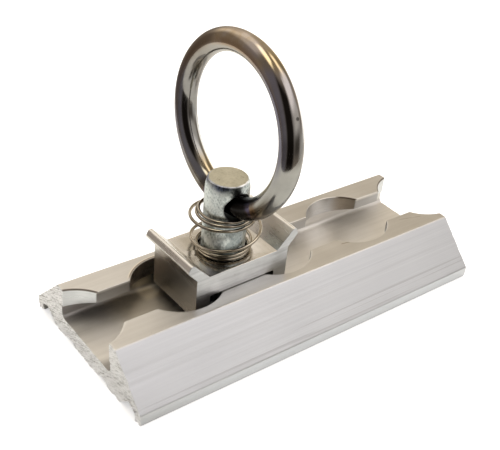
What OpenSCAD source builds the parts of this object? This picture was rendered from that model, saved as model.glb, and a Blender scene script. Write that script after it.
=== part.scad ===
// Anchor track section with a single-stud ring fitting.
//
// A short length of aluminium C-slot track, with round entry holes at an even
// pitch, and one ring fitting locked between two of the holes. The stud's foot
// hangs under the lips of the slot, the keeper's two legs drop into the holes
// on either side, and a spring between keeper and ring holds the keeper down.
//
// Frame: +X along the track, +Y across it, +Z up. Origin at the middle of the
// track's underside. Everything is in millimetres.

/* [Track] */
// Length of the sawn piece of track
track_l = 97.14; // [90:0.01:100]
// Distance between the centres of the entry holes
pitch = 25.4; // [25:0.1:26]
// Distance from the middle of the track to the nearest entry hole's centre
hole_shift = -0.4; // [-1:0.1:1]
// Diameter of the entry holes
hole_d = 20.52; // [20:0.01:20.8]
// Overall height of the track
track_h = 12.7; // [12.5:0.1:13]
// Width across the feet
base_w = 44.4; // [43:0.1:46]
// Width of the flat top
top_w = 24.32; // [24:0.02:26]
// Width of the slot between the lips
slot_w = 11.3; // [11:0.1:11.6]
// Height of the slot's floor above the underside
floor_z = 5.05; // [4.6:0.05:5.1]
// Width of the undercut below the lips
cavity_w = 20.68; // [20.6:0.02:21]
// Thickness of a lip at the slot
lip_t = 3.0; // [2.8:0.1:3.1]
// Thickness of a lip at the undercut's wall
lip_root_t = 4.65; // [4.4:0.05:4.7]
// Height of the upright foot below the sloping flank
foot_h = 2.86; // [2.4:0.02:3.2]

/* [Stud] */
// Position of the stud along the track
stud_x = -14.05; // [-15:0.05:-12]
// Diameter of the stud's shaft
stud_d = 9.84; // [9.6:0.02:10]
// Height of the stud's top above the underside
stud_top = 36.14; // [35.8:0.02:37]
// Turn of the whole fitting about the stud, out of line with the track, in degrees
fitting_turn = 0.9; // [-0.9:0.1:0.9]
// Diameter of the stud's foot
foot_d = 17; // [16.6:0.1:17.2]
// Height of the cross-hole above the underside
eye_z = 30.7; // [30.6:0.1:31]
// Diameter of the cross-hole
eye_d = 6.6; // [6.6:0.1:6.8]

/* [Ring] */
// Diameter of the ring's wire
wire_d = 5; // [4.8:0.1:5]
// Mean radius of the ring
ring_r = 17.5; // [17.4:0.02:18]
// Height of the line that the ring tilts about, pushed up in the cross-hole
tilt_z = 31.05; // [31:0.05:31.1]
// Sideways shift of the ring in the cross-hole
ring_shift = 0.5; // [-0.5:0.1:0.5]
// Lean of the ring from upright, towards +X, in degrees
ring_lean = 3; // [0:1:6]

/* [Keeper] */
// Length of the keeper across its legs, along the track
keeper_l = 25.2; // [24.6:0.1:25.2]
// Width of the keeper, across the track
keeper_w = 16.4; // [15:0.1:16.4]
// Thickness of the keeper's plate
plate_t = 5.3; // [5:0.1:5.6]
// Gap between the plate and the top of the track
seat_gap = 0.15; // [0.1:0.05:0.3]
// Depth that the legs reach below the track's top
leg_drop = 5.15; // [4.8:0.05:5.4]
// Thickness of a leg
leg_t = 3.75; // [3.4:0.05:4]
// Diameter of the keeper's hole round the stud
keeper_hole_d = 11.3; // [11.3:0.1:11.5]
// Play taken up between keeper and stud, along the track
keeper_dx = 0.15; // [-0.1:0.05:0.15]
// Play taken up between keeper and stud, across the track
keeper_dy = 0.3; // [0:0.1:0.3]

/* [Spring] */
// Diameter of the spring's wire
spring_wire = 0.72; // [0.64:0.02:0.72]

/* [Hidden] */
$fn = 96;

hole_n = 3;
keeper_z = track_h + seat_gap;
keeper_floor = keeper_z + plate_t;
// the ring's wire hangs this far below the tilt line at its lowest point
ring_sag = 0.59;

// ---- outline helpers: a corner is [x, y, radius] ----
function unit(v) = v/norm(v);
function xy(p) = [p[0], p[1]];
function cross2(a, b) = a[0]*b[1] - a[1]*b[0];
// tangent points, arc centre and turning sign of a corner
function corner(p, c, n) =
    let(u = unit(xy(p) - xy(c)), w = unit(xy(n) - xy(c)), a = acos(u*w)/2, d = c[2]/tan(a))
    [xy(c) + u*d, xy(c) + w*d, xy(c) + unit(u + w)*(c[2]/sin(a)), cross2(-u, w)];

// A closed outline, listed counter-clockwise, whose corners are true arcs,
// both the outward ones and the inward ones.
module rounded(pts) {
    n = len(pts);
    cs = [for (i = [0 : n - 1]) corner(pts[(i + n - 1) % n], pts[i], pts[(i + 1) % n])];
    difference() {
        union() {
            polygon([for (i = [0 : n - 1]) each (pts[i][2] > 0 ? [cs[i][0], cs[i][1]] : [xy(pts[i])])]);
            for (i = [0 : n - 1])
                if (pts[i][2] > 0 && cs[i][3] > 0) translate(cs[i][2]) circle(r = pts[i][2], $fn = 32);
        }
        for (i = [0 : n - 1])
            if (pts[i][2] > 0 && cs[i][3] < 0) translate(cs[i][2]) circle(r = pts[i][2], $fn = 32);
    }
}

function mirrored(half) =
    concat(half, [for (i = [len(half) - 1 : -1 : 0]) [-half[i][0], half[i][1], half[i][2]]]);

// ---- track ----
// Right half of the cross-section, from the underside's middle out and round
// to the slot's floor.
track_half = [
    [4.9, 0, 0.3],
    [5.9, 0.95, 0.3],
    [8.1, 0.95, 0.3],
    [9.3, 0, 0.3],
    [13.9, 0, 0.4],
    [17.5, 3.2, 0.5],
    [19.9, 2.1, 0.3],
    [20.1, 0, 0.3],
    [base_w/2, 0, 0.5],
    [base_w/2, foot_h, 0.8],
    [top_w/2, track_h, 0.5],
    [slot_w/2, track_h, 0],
    [slot_w/2, track_h - lip_t, 0],
    [cavity_w/2, track_h - lip_root_t, 0],
    [cavity_w/2, floor_z, 1.1]
];

module track() color([0.80, 0.78, 0.76]) difference() {
    rotate([90, 0, 90]) translate([0, 0, -track_l/2]) linear_extrude(track_l) rounded(mirrored(track_half));
    for (i = [-hole_n : hole_n])
        if (abs(hole_shift + i*pitch) < track_l/2 + hole_d/2)
            translate([hole_shift + i*pitch, 0, floor_z + 1.3]) cylinder(d = hole_d, h = track_h, $fn = 128);
}

// ---- stud ----
foot_r = foot_d/2;
stud_r = stud_d/2;
// the foot's upper face follows the slope of the lips, a little below them
lip_slope = (lip_root_t - lip_t)/(cavity_w/2 - slot_w/2);
foot_top = track_h - lip_t - 0.2;
function foot_z(r) = foot_top - (r - slot_w/2)*lip_slope;

module stud() translate([stud_x, 0, 0]) rotate([0, 0, fitting_turn]) color([0.72, 0.75, 0.78]) difference() {
    rotate_extrude($fn = 128) polygon([
        [0, floor_z + 0.6], [foot_r - 0.8, floor_z + 0.6], [foot_r, floor_z + 1.2],
        [foot_r, foot_z(foot_r) - 0.4], [foot_r - 0.4, foot_z(foot_r - 0.4)],
        [stud_r + 0.35, foot_z(stud_r + 0.35)], [stud_r, foot_z(stud_r) + 0.3],
        [stud_r, stud_top - 2.6], [stud_r - 0.05, stud_top - 1.9], [stud_r - 0.16, stud_top - 1.1],
        [stud_r - 0.3, stud_top - 0.45], [stud_r - 0.42, stud_top - 0.14], [stud_r - 0.58, stud_top],
        [0, stud_top]
    ]);
    translate([0, 0, eye_z]) rotate([90, 0, 0]) cylinder(d = eye_d, h = stud_d + 2, center = true, $fn = 64);
}

// ---- ring ----
module ring() translate([stud_x, 0, tilt_z]) rotate([0, 0, fitting_turn]) rotate([0, ring_lean, 0])
    translate([0, ring_shift, ring_r - ring_sag]) rotate([0, 90, 0]) color([0.55, 0.52, 0.50])
    rotate_extrude($fn = 128) translate([ring_r, 0]) circle(d = wire_d, $fn = 48);

// ---- keeper ----
// Right half of the keeper's outline, seen along Y, from the plate's underside
// out round the leg and the raised ear to the plate's floor.
leg_in = keeper_l/2 - leg_t;
keeper_half = [
    [leg_in, keeper_z, 0.4],
    [leg_in, track_h - leg_drop, 0.3],
    [keeper_l/2, track_h - leg_drop, 0.3],
    [keeper_l/2, keeper_floor, 0],
    [keeper_l/2 + 2.55, keeper_floor + 2.9, 0.75],
    [keeper_l/2 + 1.5, keeper_floor + 5.0, 0.75],
    [keeper_l/2 - 3.3, keeper_floor, 0]
];

module keeper() translate([stud_x, 0, 0]) rotate([0, 0, fitting_turn]) translate([keeper_dx, keeper_dy, 0]) color([0.83, 0.82, 0.80]) difference() {
    rotate([90, 0, 0]) translate([0, 0, -keeper_w/2]) linear_extrude(keeper_w) rounded(mirrored(keeper_half));
    translate([0, 0, keeper_z - 1]) cylinder(d = keeper_hole_d, h = plate_t + 6, $fn = 96);
}

// ---- spring ----
// The wire climbs anticlockwise seen from above. Its two end turns lie close
// round the stud, the turn between them is wide and open. Each row is
// [angle in degrees, radius, height] of the wire's middle; the rows are joined
// by straight slopes that are then averaged over a short stretch.
coil_rows = [
    [-560, 5.8, 18.58], [-450, 5.8, 18.6], [-300, 5.85, 19.0], [-220, 5.9, 19.32],
    [-130, 6.0, 19.5], [-40, 6.25, 20.1], [50, 6.7, 20.4], [140, 7.35, 20.7],
    [230, 7.55, 21.8], [320, 8.1, 23.6], [360, 8.25, 24.5], [410, 8.15, 25.3],
    [500, 7.85, 26.4], [590, 6.95, 26.75], [680, 6.5, 26.93], [860, 6.35, 27.32],
    [950, 6.3, 27.45], [1040, 6.2, 27.62], [1130, 6.05, 27.84], [1220, 5.9, 27.98],
    [1310, 5.75, 28.06], [1370, 5.65, 28.1]
];
a_start = coil_rows[0][0];
a_end = coil_rows[len(coil_rows) - 1][0];

function row_at(a, k) = lookup(a, [for (r = coil_rows) [r[0], r[k]]]);
function eased(a, k) =
    (row_at(a - 60, k) + 2*row_at(a - 30, k) + 2*row_at(a, k) + 2*row_at(a + 30, k) + row_at(a + 60, k))/8;
function coil_pt(a) = let(r = eased(a, 1)) [r*cos(a), r*sin(a), eased(a, 2)];

coil_steps = 193;
coil_sides = 8;
function coil_a(i) = a_start + (a_end - a_start)*i/coil_steps;
function coil_ring(i) =
    let(a = coil_a(i), p = coil_pt(a), t = unit(coil_pt(a + 0.5) - coil_pt(a - 0.5)),
        u = unit(cross(t, [0, 0, 1])), w = cross(u, t))
    [for (k = [0 : coil_sides - 1]) let(b = 360*k/coil_sides)
        p + (u*cos(b) + w*sin(b))*spring_wire/2];

module spring() translate([stud_x, 0, 0]) rotate([0, 0, fitting_turn]) color([0.60, 0.55, 0.47]) polyhedron(
    points = [for (i = [0 : coil_steps]) each coil_ring(i)],
    faces = concat(
        [[for (k = [0 : coil_sides - 1]) k]],
        [for (i = [0 : coil_steps - 1], k = [0 : coil_sides - 1])
            let(m = (k + 1) % coil_sides, s = coil_sides)
            [i*s + k, (i + 1)*s + k, (i + 1)*s + m, i*s + m]],
        [[for (k = [coil_sides - 1 : -1 : 0]) coil_steps*coil_sides + k]]
    ),
    convexity = 8
);

track();
keeper();
stud();
ring();
spring();
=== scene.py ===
"""Looks of the anchor track section with its ring fitting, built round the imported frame."""
import math

import bmesh
import bpy
import numpy as np
from mathutils import Matrix, Vector, geometry, noise


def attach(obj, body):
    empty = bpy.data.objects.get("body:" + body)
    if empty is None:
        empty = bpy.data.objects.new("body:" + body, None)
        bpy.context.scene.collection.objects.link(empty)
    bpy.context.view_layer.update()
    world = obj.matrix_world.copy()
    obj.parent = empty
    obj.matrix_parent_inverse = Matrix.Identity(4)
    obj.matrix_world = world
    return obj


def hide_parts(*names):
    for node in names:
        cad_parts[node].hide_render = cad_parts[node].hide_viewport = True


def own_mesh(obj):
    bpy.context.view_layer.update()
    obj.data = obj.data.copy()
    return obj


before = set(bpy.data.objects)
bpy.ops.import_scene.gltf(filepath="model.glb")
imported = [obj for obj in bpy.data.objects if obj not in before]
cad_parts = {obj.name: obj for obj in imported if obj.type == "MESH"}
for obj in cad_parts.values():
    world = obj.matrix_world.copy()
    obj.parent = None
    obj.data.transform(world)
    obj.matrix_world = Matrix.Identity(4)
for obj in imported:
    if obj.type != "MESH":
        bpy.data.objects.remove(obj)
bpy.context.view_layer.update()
scene = bpy.context.scene
MM = 0.001

# ---------------------------------------------------------------- camera
# Orthonormal view axes of the camera: right, up and backward, in the row frame.
az, el, roll = math.radians(-40.70), math.radians(33.39), math.radians(6.15)
back = Vector((math.sin(az) * math.cos(el), -math.cos(az) * math.cos(el), math.sin(el)))
right0 = (-back).cross(Vector((0, 0, 1))).normalized()
up0 = right0.cross(-back)
right = math.cos(roll) * right0 + math.sin(roll) * up0
up = -math.sin(roll) * right0 + math.cos(roll) * up0
cam_data = bpy.data.cameras.new("camera")
cam_data.sensor_width = 36.0
cam_data.lens = 867.88 * 36.0 / 500.0
cam_data.clip_start, cam_data.clip_end = 0.01, 20
cam = bpy.data.objects.new("camera", cam_data)
scene.collection.objects.link(cam)
cam.matrix_world = Matrix(((right.x, up.x, back.x, -113.53 * MM), (right.y, up.y, back.y, -124.27 * MM), (right.z, up.z, back.z, 129.34 * MM), (0, 0, 0, 1)))
scene.camera = cam


# ---------------------------------------------------------------- mesh helpers
def link(name, mesh):
    o = bpy.data.objects.new(name, mesh)
    scene.collection.objects.link(o)
    return o


def mesh_from(name, verts, faces, smooth=35.0, outward=True):
    """A mesh in metres from vertices in metres; faces are turned outward and softly shaded."""
    m = bpy.data.meshes.new(name)
    m.from_pydata([tuple(v) for v in verts], [], faces)
    m.validate()
    if outward:
        b = bmesh.new()
        b.from_mesh(m)
        bmesh.ops.recalc_face_normals(b, faces=b.faces)
        b.to_mesh(m)
        b.free()
    m.update()
    if smooth:
        m.polygons.foreach_set("use_smooth", [True] * len(m.polygons))
        m.set_sharp_from_angle(angle=math.radians(smooth))
    return m


def flat_faces_first(obj):
    """Vertex normals follow the largest faces, so flats stay flat up to their rounded edges."""
    w = obj.modifiers.new("face_weighted_normals", "WEIGHTED_NORMAL")
    w.mode = "FACE_AREA"
    w.weight = 90
    w.keep_sharp = True


def arc_corner(p, c, n, r, steps):
    """Points of a circular arc that rounds corner c between p and n."""
    p, c, n = Vector(p), Vector(c), Vector(n)
    u, w = (p - c).normalized(), (n - c).normalized()
    half = u.angle(w) / 2
    d = r / math.tan(half)
    d = min(d, 0.48 * (p - c).length, 0.48 * (n - c).length)
    r = d * math.tan(half)
    t1, t2 = c + u * d, c + w * d
    m = c + (u + w).normalized() * (r / math.sin(half))
    a, b = t1 - m, t2 - m
    ang = a.angle(b)
    out = []
    for i in range(steps + 1):
        f = i / steps
        s = math.sin(ang)
        q = a * (math.sin((1 - f) * ang) / s) + b * (math.sin(f * ang) / s)
        out.append(tuple(m + q))
    return out


def inside(poly, pts):
    """Which points lie inside a closed outline."""
    c = np.zeros(len(pts), bool)
    y, z = pts[:, 0], pts[:, 1]
    for (y1, z1), (y2, z2) in zip(poly, np.roll(poly, -1, axis=0)):
        if z1 == z2:
            continue
        c ^= ((z1 > z) != (z2 > z)) & (y < (y2 - y1) * (z - z1) / (z2 - z1) + y1)
    return c


def edge_distance(poly, pts):
    """Distance from each point to a closed outline."""
    best = np.full(len(pts), 1e9)
    for a, b in zip(poly, np.roll(poly, -1, axis=0)):
        ab = b - a
        t = np.clip(((pts - a) @ ab) / max(ab @ ab, 1e-12), 0, 1)
        best = np.minimum(best, np.linalg.norm(pts - a - t[:, None] * ab, axis=1))
    return best


def smooth01(t):
    t = min(1.0, max(0.0, t))
    return t * t * (3 - 2 * t)


# ---------------------------------------------------------------- materials
class Mat:
    """A small helper around a node tree with a Principled shader."""

    def __init__(self, name):
        self.m = bpy.data.materials.new(name)
        self.m.use_nodes = True
        self.t = self.m.node_tree
        self.p = self.t.nodes["Principled BSDF"]
        self.x = -300

    def node(self, kind, **values):
        n = self.t.nodes.new(kind)
        n.location = (self.x, 200)
        self.x -= 180
        for k, v in values.items():
            setattr(n, k, v)
        return n

    def join(self, a, b):
        self.t.links.new(a, b)

    def coords(self, scale=(1, 1, 1), rotation=(0, 0, 0), location=(0, 0, 0)):
        c = self.node("ShaderNodeTexCoord")
        m = self.node("ShaderNodeMapping")
        m.inputs["Scale"].default_value = scale
        m.inputs["Rotation"].default_value = rotation
        m.inputs["Location"].default_value = location
        self.join(c.outputs["Object"], m.inputs["Vector"])
        return m.outputs["Vector"]

    def xyz(self):
        c = self.node("ShaderNodeTexCoord")
        s = self.node("ShaderNodeSeparateXYZ")
        self.join(c.outputs["Object"], s.inputs[0])
        return s.outputs

    def slanted(self, angle, along, across):
        """Coordinates on a cut end for marks that run at an angle to the track's underside."""
        y, z = self.xyz()[1:]
        s, c = math.sin(angle), math.cos(angle)
        n = self.node("ShaderNodeCombineXYZ")
        self.join(self.times(self.math("SUBTRACT", self.times(y, c), self.times(z, s)), along), n.inputs[1])
        self.join(self.times(self.add(self.times(z, c), self.times(y, s)), across), n.inputs[2])
        return n.outputs[0]

    def noise(self, vec, scale, detail=4.0, rough=0.55, distortion=0.0):
        n = self.node("ShaderNodeTexNoise")
        n.inputs["Scale"].default_value = scale
        n.inputs["Detail"].default_value = detail
        n.inputs["Roughness"].default_value = rough
        n.inputs["Distortion"].default_value = distortion
        self.join(vec, n.inputs["Vector"])
        return n.outputs["Fac"]

    def cells(self, vec, scale, feature="F1", randomness=1.0):
        n = self.node("ShaderNodeTexVoronoi", feature=feature)
        n.inputs["Scale"].default_value = scale
        n.inputs["Randomness"].default_value = randomness
        self.join(vec, n.inputs["Vector"])
        return n.outputs["Distance"]

    def ramp(self, fac, stops):
        r = self.node("ShaderNodeValToRGB")
        e = r.color_ramp.elements
        e[0].position, e[0].color = stops[0][0], (*stops[0][1], 1)
        e[1].position, e[1].color = stops[-1][0], (*stops[-1][1], 1)
        for pos, col in stops[1:-1]:
            k = e.new(pos)
            k.color = (*col, 1)
        self.join(fac, r.inputs["Fac"])
        return r.outputs["Color"]

    def range(self, fac, lo, hi, a=0.0, b=1.0, soft=False):
        r = self.node("ShaderNodeMapRange", interpolation_type="SMOOTHSTEP" if soft else "LINEAR")
        r.inputs["From Min"].default_value = a
        r.inputs["From Max"].default_value = b
        r.inputs["To Min"].default_value = lo
        r.inputs["To Max"].default_value = hi
        self.join(fac, r.inputs["Value"])
        return r.outputs["Result"]

    def mix(self, fac, a, b, mode="MIX"):
        n = self.node("ShaderNodeMix", data_type="RGBA", blend_type=mode)
        for sock, v in (("Factor", fac), ("A", a), ("B", b)):
            s = [i for i in n.inputs if i.name == sock and (i.type == "RGBA" or (sock == "Factor" and i.type == "VALUE"))][0]
            if hasattr(v, "is_output"):
                self.join(v, s)
            elif sock == "Factor":
                s.default_value = v
            else:
                s.default_value = (*v, 1)
        return [o for o in n.outputs if o.type == "RGBA"][0]

    def math(self, op, a, b=0.0, clamp=False):
        n = self.node("ShaderNodeMath", operation=op, use_clamp=clamp)
        for i, v in enumerate((a, b)):
            if hasattr(v, "is_output"):
                self.join(v, n.inputs[i])
            else:
                n.inputs[i].default_value = v
        return n.outputs["Value"]

    def add(self, *terms):
        out = terms[0]
        for t in terms[1:]:
            out = self.math("ADD", out, t)
        return out

    def times(self, a, b):
        return self.math("MULTIPLY", a, b)

    def bump(self, height, strength, distance=0.0001, normal=None):
        b = self.node("ShaderNodeBump")
        b.inputs["Strength"].default_value = strength
        b.inputs["Distance"].default_value = distance
        self.join(height, b.inputs["Height"])
        if normal is not None:
            self.join(normal, b.inputs["Normal"])
        return b.outputs["Normal"]

    def finish(self, color, rough, height=None, strength=0.3, distance=0.00003, matt=None):
        self.join(color, self.p.inputs["Base Color"])
        self.join(rough, self.p.inputs["Roughness"])
        self.p.inputs["Metallic"].default_value = 1.0
        if matt is not None:
            # burnished or chalky places scatter light instead of mirroring it
            self.join(self.math("SUBTRACT", 1.0, matt, True), self.p.inputs["Metallic"])
        if height is not None:
            self.join(self.bump(height, strength, distance), self.p.inputs["Normal"])
        return self


def lined(along, across):
    """Mapping scale for lines that run along one axis."""
    return tuple(25.0 if i == along else across for i in range(3))


def burr_shadow_mask(k, lo, hi):
    """Where a drilled hole's rim gets a painted dark line for the burr's shadow: the near half of the end holes, the
    right of the free one.
    """
    x, y, z = k.xyz()
    total = None
    for centre, side, start in ((-0.0512, 1, 0.0008), (0.0250, 1, 0.0042), (0.0504, -1, 0.0008)):
        across = k.math("SUBTRACT", x, centre)
        off = k.math("POWER", k.add(k.math("POWER", across, 2.0), k.math("POWER", y, 2.0)), 0.5)
        part = k.times(k.range(off, 1.0, 0.0, lo, hi), k.range(k.times(across, side), 0.0, 1.0, start, start + 0.0015, True))
        total = part if total is None else k.add(total, part)
    return k.times(total, k.range(y, 0.0, 1.0, 0.0030, 0.0038))


def track_top():
    k = Mat("track_top_satin")
    lines = k.noise(k.coords(lined(0, 4200)), 1.0, 6, 0.6)
    bands = k.noise(k.coords(lined(0, 700)), 1.0, 3, 0.5)
    cloud = k.noise(k.coords(), 70, 4, 0.55)
    specks = k.range(k.cells(k.coords((1, 1, 1)), 520), 1.0, 0.0, 0.02, 0.10, True)
    rare = k.range(k.noise(k.coords(), 160, 2), 0.0, 1.0, 0.60, 0.66, True)
    nick = k.times(specks, rare)
    c = k.ramp(k.add(k.times(bands, 0.5), k.times(cloud, 0.5)), [(0.36, (0.665, 0.65, 0.625)), (0.52, (0.72, 0.708, 0.685)), (0.66, (0.765, 0.755, 0.735))])
    c = k.mix(k.times(nick, 0.55), c, (0.38, 0.36, 0.33))
    r = k.add(k.range(lines, 0.33, 0.42, 0.3, 0.7), k.range(cloud, -0.04, 0.05, 0.3, 0.7))
    h = k.add(lines, k.times(bands, 2.0), k.times(nick, -3.0))
    # the lips' walls along the slot are darker than the top
    z = k.xyz()[2]
    lip = k.times(k.range(z, 1.0, 0.0, 0.01240, 0.01255, True), k.range(z, 0.0, 1.0, 0.0080, 0.0084))
    c = k.mix(k.times(lip, 0.62), c, (0.36, 0.365, 0.375))
    # a pale painted highlight with rubbed wear along every top edge, partly matt
    edge_wear_and_highlight = k.times(k.range(k.xyz()[2], 1.0, 0.0, 0.012655, 0.012692, True), k.range(k.xyz()[2], 0.0, 1.0, 0.0120, 0.0122))
    edge_wear_and_highlight = k.times(edge_wear_and_highlight, k.range(cloud, 0.45, 1.0, 0.40, 0.58, True))
    c = k.mix(k.times(edge_wear_and_highlight, 0.7), c, (0.82, 0.785, 0.725))
    # a painted dark line round the holes' rims for the burr's shadow
    burr_shadow = k.times(burr_shadow_mask(k, 0.01042, 0.01060), k.range(z, 0.0, 1.0, 0.01245, 0.01255))
    c = k.mix(k.times(burr_shadow, 0.85), c, (0.17, 0.14, 0.115))
    # round the hole that holds the left leg a brown line is painted for the burr and its shadow, with a pale painted
    # highlight line outside it
    off = k.math("POWER", k.add(k.math("POWER", k.math("SUBTRACT", k.xyz()[0], -0.0258), 2.0), k.math("POWER", k.xyz()[1], 2.0)), 0.5)
    back = k.times(k.range(k.xyz()[1], 0.0, 1.0, 0.0060, 0.0072, True), k.range(z, 0.0, 1.0, 0.01245, 0.01255))
    brown = k.range(k.math("ABSOLUTE", k.math("SUBTRACT", off, 0.01052)), 1.0, 0.0, 0.00010, 0.00020, True)
    pale_highlight_line = k.range(k.math("ABSOLUTE", k.math("SUBTRACT", off, 0.01084)), 1.0, 0.0, 0.00008, 0.00020, True)
    c = k.mix(k.times(k.times(brown, back), 0.7), c, (0.25, 0.19, 0.13))
    c = k.mix(k.times(k.times(pale_highlight_line, back), 0.7), c, (0.88, 0.83, 0.73))
    # a scuff beside the free hole, and two faint ones further on
    for sx, sy, half, thick, much in ((0.0179, -0.00785, 0.0017, 0.00030, 0.75), (0.0388, -0.0075, 0.0022, 0.00013, 0.45), (0.0418, -0.0084, 0.0018, 0.00013, 0.40)):
        along = k.add(k.math("SUBTRACT", k.xyz()[0], sx), k.times(cloud, 0.0006))
        aside = k.add(k.math("SUBTRACT", k.xyz()[1], sy), k.times(along, 0.22), k.times(k.add(bands, -0.5), 0.0012))
        mark = k.times(k.range(k.math("ABSOLUTE", along), 1.0, 0.0, half * 0.6, half, True), k.range(k.math("ABSOLUTE", aside), 1.0, 0.0, thick * 0.4, thick, True))
        c = k.mix(k.times(mark, much), c, (0.33, 0.275, 0.225))
    return k.finish(c, r, h, 0.16, 0.00003, k.times(edge_wear_and_highlight, k.math("SUBTRACT", 0.28, k.times(burr_shadow, 0.28))))


def track_flank():
    k = Mat("track_flank_drawn")
    z = k.xyz()[2]
    fine = k.noise(k.coords(lined(0, 5200)), 1.0, 5, 0.6)
    bands = k.noise(k.coords((16, 2400, 2400), location=(0.3, 0.1, 0.7)), 1.0, 4, 0.6)
    wide = k.noise(k.coords((9, 800, 800), location=(0.9, 0.4, 0.2)), 1.0, 3, 0.5)
    cloud = k.noise(k.coords((1, 1, 1)), 45, 3, 0.5)
    scratch = k.range(k.noise(k.coords((12, 1500, 1500), location=(2.3, 1.7, 3.1)), 1.0, 2, 0.4), 0.0, 1.0, 0.62, 0.68, True)
    low = k.range(z, 1.0, 0.25, 0.004, 0.0095, True)
    dark = k.times(scratch, low)
    tone = k.add(k.times(bands, 0.5), k.times(wide, 0.2), k.times(cloud, 0.3))
    c = k.ramp(tone, [(0.36, (0.562, 0.577, 0.601)), (0.5, (0.606, 0.622, 0.646)), (0.64, (0.648, 0.665, 0.688))])
    c = k.mix(k.times(dark, 0.5), c, (0.43, 0.43, 0.44))
    foot = k.range(z, 0.75, 0.0, 0.0026, 0.0030, True)
    c = k.mix(foot, c, (0.75, 0.785, 0.845))
    # painted shade: the flank darkens towards its left end
    c = k.mix(k.range(k.xyz()[0], 0.9, 0.0, -0.060, -0.020, True), c, (0.545, 0.558, 0.582))
    # a pale painted highlight with rubbed wear along the flank's top edge
    edge_wear_and_highlight = k.times(k.range(z, 0.0, 1.0, 0.01240, 0.01255, True), k.range(cloud, 0.30, 1.0, 0.42, 0.58, True))
    c = k.mix(k.times(edge_wear_and_highlight, 0.6), c, (0.71, 0.695, 0.675))
    r = k.add(k.range(fine, 0.34, 0.44, 0.3, 0.7), k.range(wide, -0.03, 0.04, 0.3, 0.7))
    h = k.add(fine, k.times(bands, 1.1), k.times(dark, -2.0))
    return k.finish(c, r, h, 0.20, 0.00003, k.times(edge_wear_and_highlight, 0.06))


def sawn_end():
    k = Mat("track_sawn_end")
    marks = k.noise(k.slanted(0.42, 260, 2600), 1.0, 4, 0.6, 0.25)
    broad = k.noise(k.slanted(0.40, 110, 720), 1.0, 3, 0.6)
    grit = k.noise(k.coords(), 1900, 3, 0.6)
    flakes = k.noise(k.slanted(0.42, 900, 4300), 1.0, 2, 0.5)
    tone = k.add(k.times(marks, 0.50), k.times(broad, 0.12), k.times(grit, 0.10), k.times(flakes, 0.28))
    c = k.ramp(tone, [(0.385, (0.27, 0.265, 0.26)), (0.440, (0.60, 0.60, 0.60)), (0.500, (0.80, 0.805, 0.81)), (0.57, (0.94, 0.94, 0.945))])
    front = k.range(k.xyz()[1], 1.0, 0.0, -0.0085, -0.0060, True)
    c = k.mix(k.times(front, 0.38), c, (0.74, 0.745, 0.75))
    # a pale torn fringe along the lower edge
    fringe = k.range(k.add(k.xyz()[2], k.times(broad, 0.0020)), 1.0, 0.0, 0.0018, 0.0036, True)
    c = k.mix(k.times(fringe, 0.55), c, (0.99, 0.99, 0.99))
    r = k.range(marks, 0.34, 0.55, 0.3, 0.7)
    h = k.add(k.times(marks, 1.3), broad, k.times(grit, 0.4), k.times(flakes, 0.6))
    return k.finish(c, r, h, 0.9, 0.00016, k.add(k.range(tone, 0.0, 0.32, 0.45, 0.53, True), k.times(fringe, 0.15)))


def track_cavity():
    k = Mat("track_undercut")
    x, y, z = k.xyz()
    lines = k.noise(k.coords(lined(0, 3600)), 1.0, 6, 0.6)
    bands = k.noise(k.coords((14, 620, 620)), 1.0, 3, 0.5)
    cloud = k.noise(k.coords(), 60, 4, 0.6)
    c = k.ramp(k.add(k.times(bands, 0.5), k.times(cloud, 0.5)), [(0.36, (0.76, 0.745, 0.71)), (0.52, (0.85, 0.832, 0.80)), (0.66, (0.91, 0.895, 0.865))])
    # painted shade along the sides of the cavity under the lips, strongest left of the keeper and round the leg
    side = k.range(k.add(k.math("ABSOLUTE", y), k.times(cloud, 0.0022)), 0.0, 1.0, 0.0066, 0.0096, True)
    left_shade_weight = k.range(k.add(x, k.times(cloud, 0.006)), 1.0, 0.16, -0.014, 0.004, True)
    leg_shade = k.range(k.math("ABSOLUTE", k.math("SUBTRACT", x, -0.0262)), 1.0, 0.0, 0.0040, 0.0115, True)
    rub_and_highlight = k.times(k.range(y, 0.0, 1.0, 0.0048, 0.0070, True), k.range(k.math("ABSOLUTE", k.add(x, 0.0274, k.times(cloud, 0.0010))), 1.0, 0.0, 0.0010, 0.0030, True))
    kept = k.math("SUBTRACT", 1.0, k.times(rub_and_highlight, 0.85))
    c = k.mix(k.times(k.times(k.times(side, left_shade_weight), kept), 0.60), c, (0.16, 0.148, 0.15))
    c = k.mix(k.times(k.times(leg_shade, kept), 0.40), c, (0.19, 0.165, 0.135))
    # a painted tan highlight with rubbed wear on the floor behind the leg, and a broader pale one left of it
    c = k.mix(k.times(rub_and_highlight, 0.45), c, (0.84, 0.73, 0.53))
    c = k.mix(k.times(k.range(k.math("ABSOLUTE", k.add(x, 0.0320)), 1.0, 0.0, 0.0030, 0.0090, True), 0.30), c, (0.84, 0.76, 0.58))
    r = k.add(k.range(lines, 0.30, 0.42, 0.3, 0.7), k.times(side, 0.06), k.range(z, 0.12, 0.0, 0.0052, 0.0060))
    return k.finish(c, r, k.add(lines, k.times(bands, 2.0)), 0.2, 0.00003)


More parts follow.
